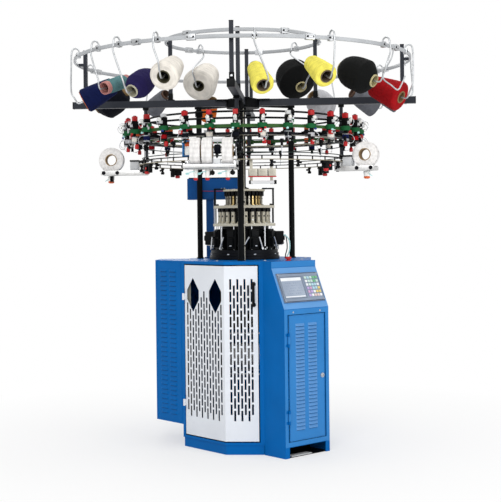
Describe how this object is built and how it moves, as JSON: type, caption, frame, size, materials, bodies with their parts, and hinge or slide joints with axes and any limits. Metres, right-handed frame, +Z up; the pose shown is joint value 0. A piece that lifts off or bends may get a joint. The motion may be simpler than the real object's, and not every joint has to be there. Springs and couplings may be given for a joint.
{
  "type": "circular jacquard knitting machine",
  "caption": "Circular jacquard knitting machine: octagonal base with a perforated door and a console, a selector head, ringed yarn feeders and an overhead creel hung with cones of yarn.",
  "frame": {"origin": "on the floor under the needle cylinder's axis, at the underside of the plinth", "axes": "+Z up along the cylinder's axis; the perforated door faces -Y, the console stands at the front right, between -Y and +X"},
  "size_m": [1.8109, 1.808, 2.1275],
  "materials": {
    "blue_paint": "gloss paint",
    "light_blue_paint": "gloss paint",
    "white_paint": "satin paint",
    "black_paint": "satin paint",
    "light_grey_paint": "satin paint",
    "cream_plate": "satin",
    "bright_steel": "bright",
    "dark_steel": "satin",
    "grey_plastic": "matt",
    "dark_plastic": "matt",
    "key_plastic": "matt",
    "display": "gloss",
    "red_plastic": "gloss",
    "green_belt": "matt",
    "white_yarn": "matt",
    "blue_yarn": "matt",
    "teal_yarn": "matt",
    "violet_yarn": "matt",
    "yellow_yarn": "matt",
    "black_yarn": "matt",
    "red_yarn": "matt",
    "grey_yarn": "matt",
    "orange_yarn": "matt"
  },
  "bodies": {
    "machine": {"base_plinth": "blue_paint", "base_walls": "blue_paint", "table_top": "light_blue_paint", "console_cabinet": "light_blue_paint", "console_fascia": "grey_plastic", "console_screen": "display", "console_keypad": "key_plastic", "stop_button": "red_plastic", "side_cabinet": "blue_paint", "cam_ring": "dark_steel", "selector_tier_lower": "cream_plate", "selector_tier_upper": "cream_plate", "head_top_plate": "cream_plate", "drive_column": "blue_paint", "post_front": "black_paint", "post_right": "black_paint", "post_left": "black_paint", "creel_hub": "black_paint", "creel_arm_front": "black_paint", "creel_arm_right": "black_paint", "creel_arm_back": "black_paint", "creel_arm_left": "black_paint", "guide_rail_upper": "black_paint", "guide_rail_lower": "black_paint", "feeder_ring": "black_paint", "feeder_belt": "green_belt", "lower_ring": "bright_steel", "elastane_unit_left": "light_grey_paint", "elastane_unit_right": "light_grey_paint", "elastane_unit_front": "light_grey_paint", "creel_ring_outer": "light_grey_paint", "creel_ring_inner": "light_grey_paint", "cone_blue_left": "blue_yarn", "tube_teal": "teal_yarn", "cone_violet": "violet_yarn", "cone_white_left": "white_yarn", "cone_yellow_left": "yellow_yarn", "cone_yellow_right": "yellow_yarn", "package_black_right": "black_yarn", "cone_red": "red_yarn", "cone_grey_right": "grey_yarn", "cone_grey_far": "grey_yarn", "package_grey_back": "white_yarn", "cone_orange_back": "orange_yarn", "cone_grey_left": "grey_yarn", "package_black_left": "black_yarn", "cone_white_right": "white_yarn", "package_black_middle": "black_yarn"},
    "front_door": {"front_door": "white_paint", "door_handle": "dark_plastic"},
    "console_door": {"console_door": "light_blue_paint"},
    "cylinder": {"needle_cylinder": "bright_steel", "take_down_frame": "dark_steel", "fabric_roll": "white_yarn"},
    "bobbin_left": {"elastane_bobbin_left": "white_yarn"},
    "bobbin_right": {"elastane_bobbin_right": "white_yarn"},
    "bobbin_front_1": {"elastane_bobbin_front_1": "white_yarn"},
    "bobbin_front_2": {"elastane_bobbin_front_2": "white_yarn"},
    "bobbin_front_3": {"elastane_bobbin_front_3": "white_yarn"}
  },
  "joints": [
    {"name": "front_door_hinge", "type": "hinge", "parent": "machine", "child": "front_door", "pos_m": [-0.30186, -0.22562, 0.495], "axis": [0, 0, -1], "range_deg": [0, 110]},
    {"name": "console_door_hinge", "type": "hinge", "parent": "machine", "child": "console_door", "pos_m": [0.24016, -0.53322, 0.393], "axis": [0, 0, -1], "range_deg": [0, 110]},
    {"name": "cylinder_turn", "type": "hinge", "parent": "machine", "child": "cylinder", "pos_m": [0, 0, 0.95], "axis": [0, 0, 1], "continuous": true},
    {"name": "bobbin_left_spin", "type": "hinge", "parent": "machine", "child": "bobbin_left", "pos_m": [-0.7, 0, 1.474], "axis": [0, 1, 0], "continuous": true},
    {"name": "bobbin_right_spin", "type": "hinge", "parent": "machine", "child": "bobbin_right", "pos_m": [0.63245, -0.2055, 1.474], "axis": [0.309, 0.9511, 0], "continuous": true},
    {"name": "bobbin_front_1_spin", "type": "hinge", "parent": "machine", "child": "bobbin_front_1", "pos_m": [-0.187, -0.66, 1.474], "axis": [1, 0, 0], "continuous": true},
    {"name": "bobbin_front_2_spin", "type": "hinge", "parent": "machine", "child": "bobbin_front_2", "pos_m": [-0.131, -0.66, 1.474], "axis": [1, 0, 0], "continuous": true},
    {"name": "bobbin_front_3_spin", "type": "hinge", "parent": "machine", "child": "bobbin_front_3", "pos_m": [-0.035, -0.66, 1.474], "axis": [1, 0, 0], "continuous": true}
  ]
}
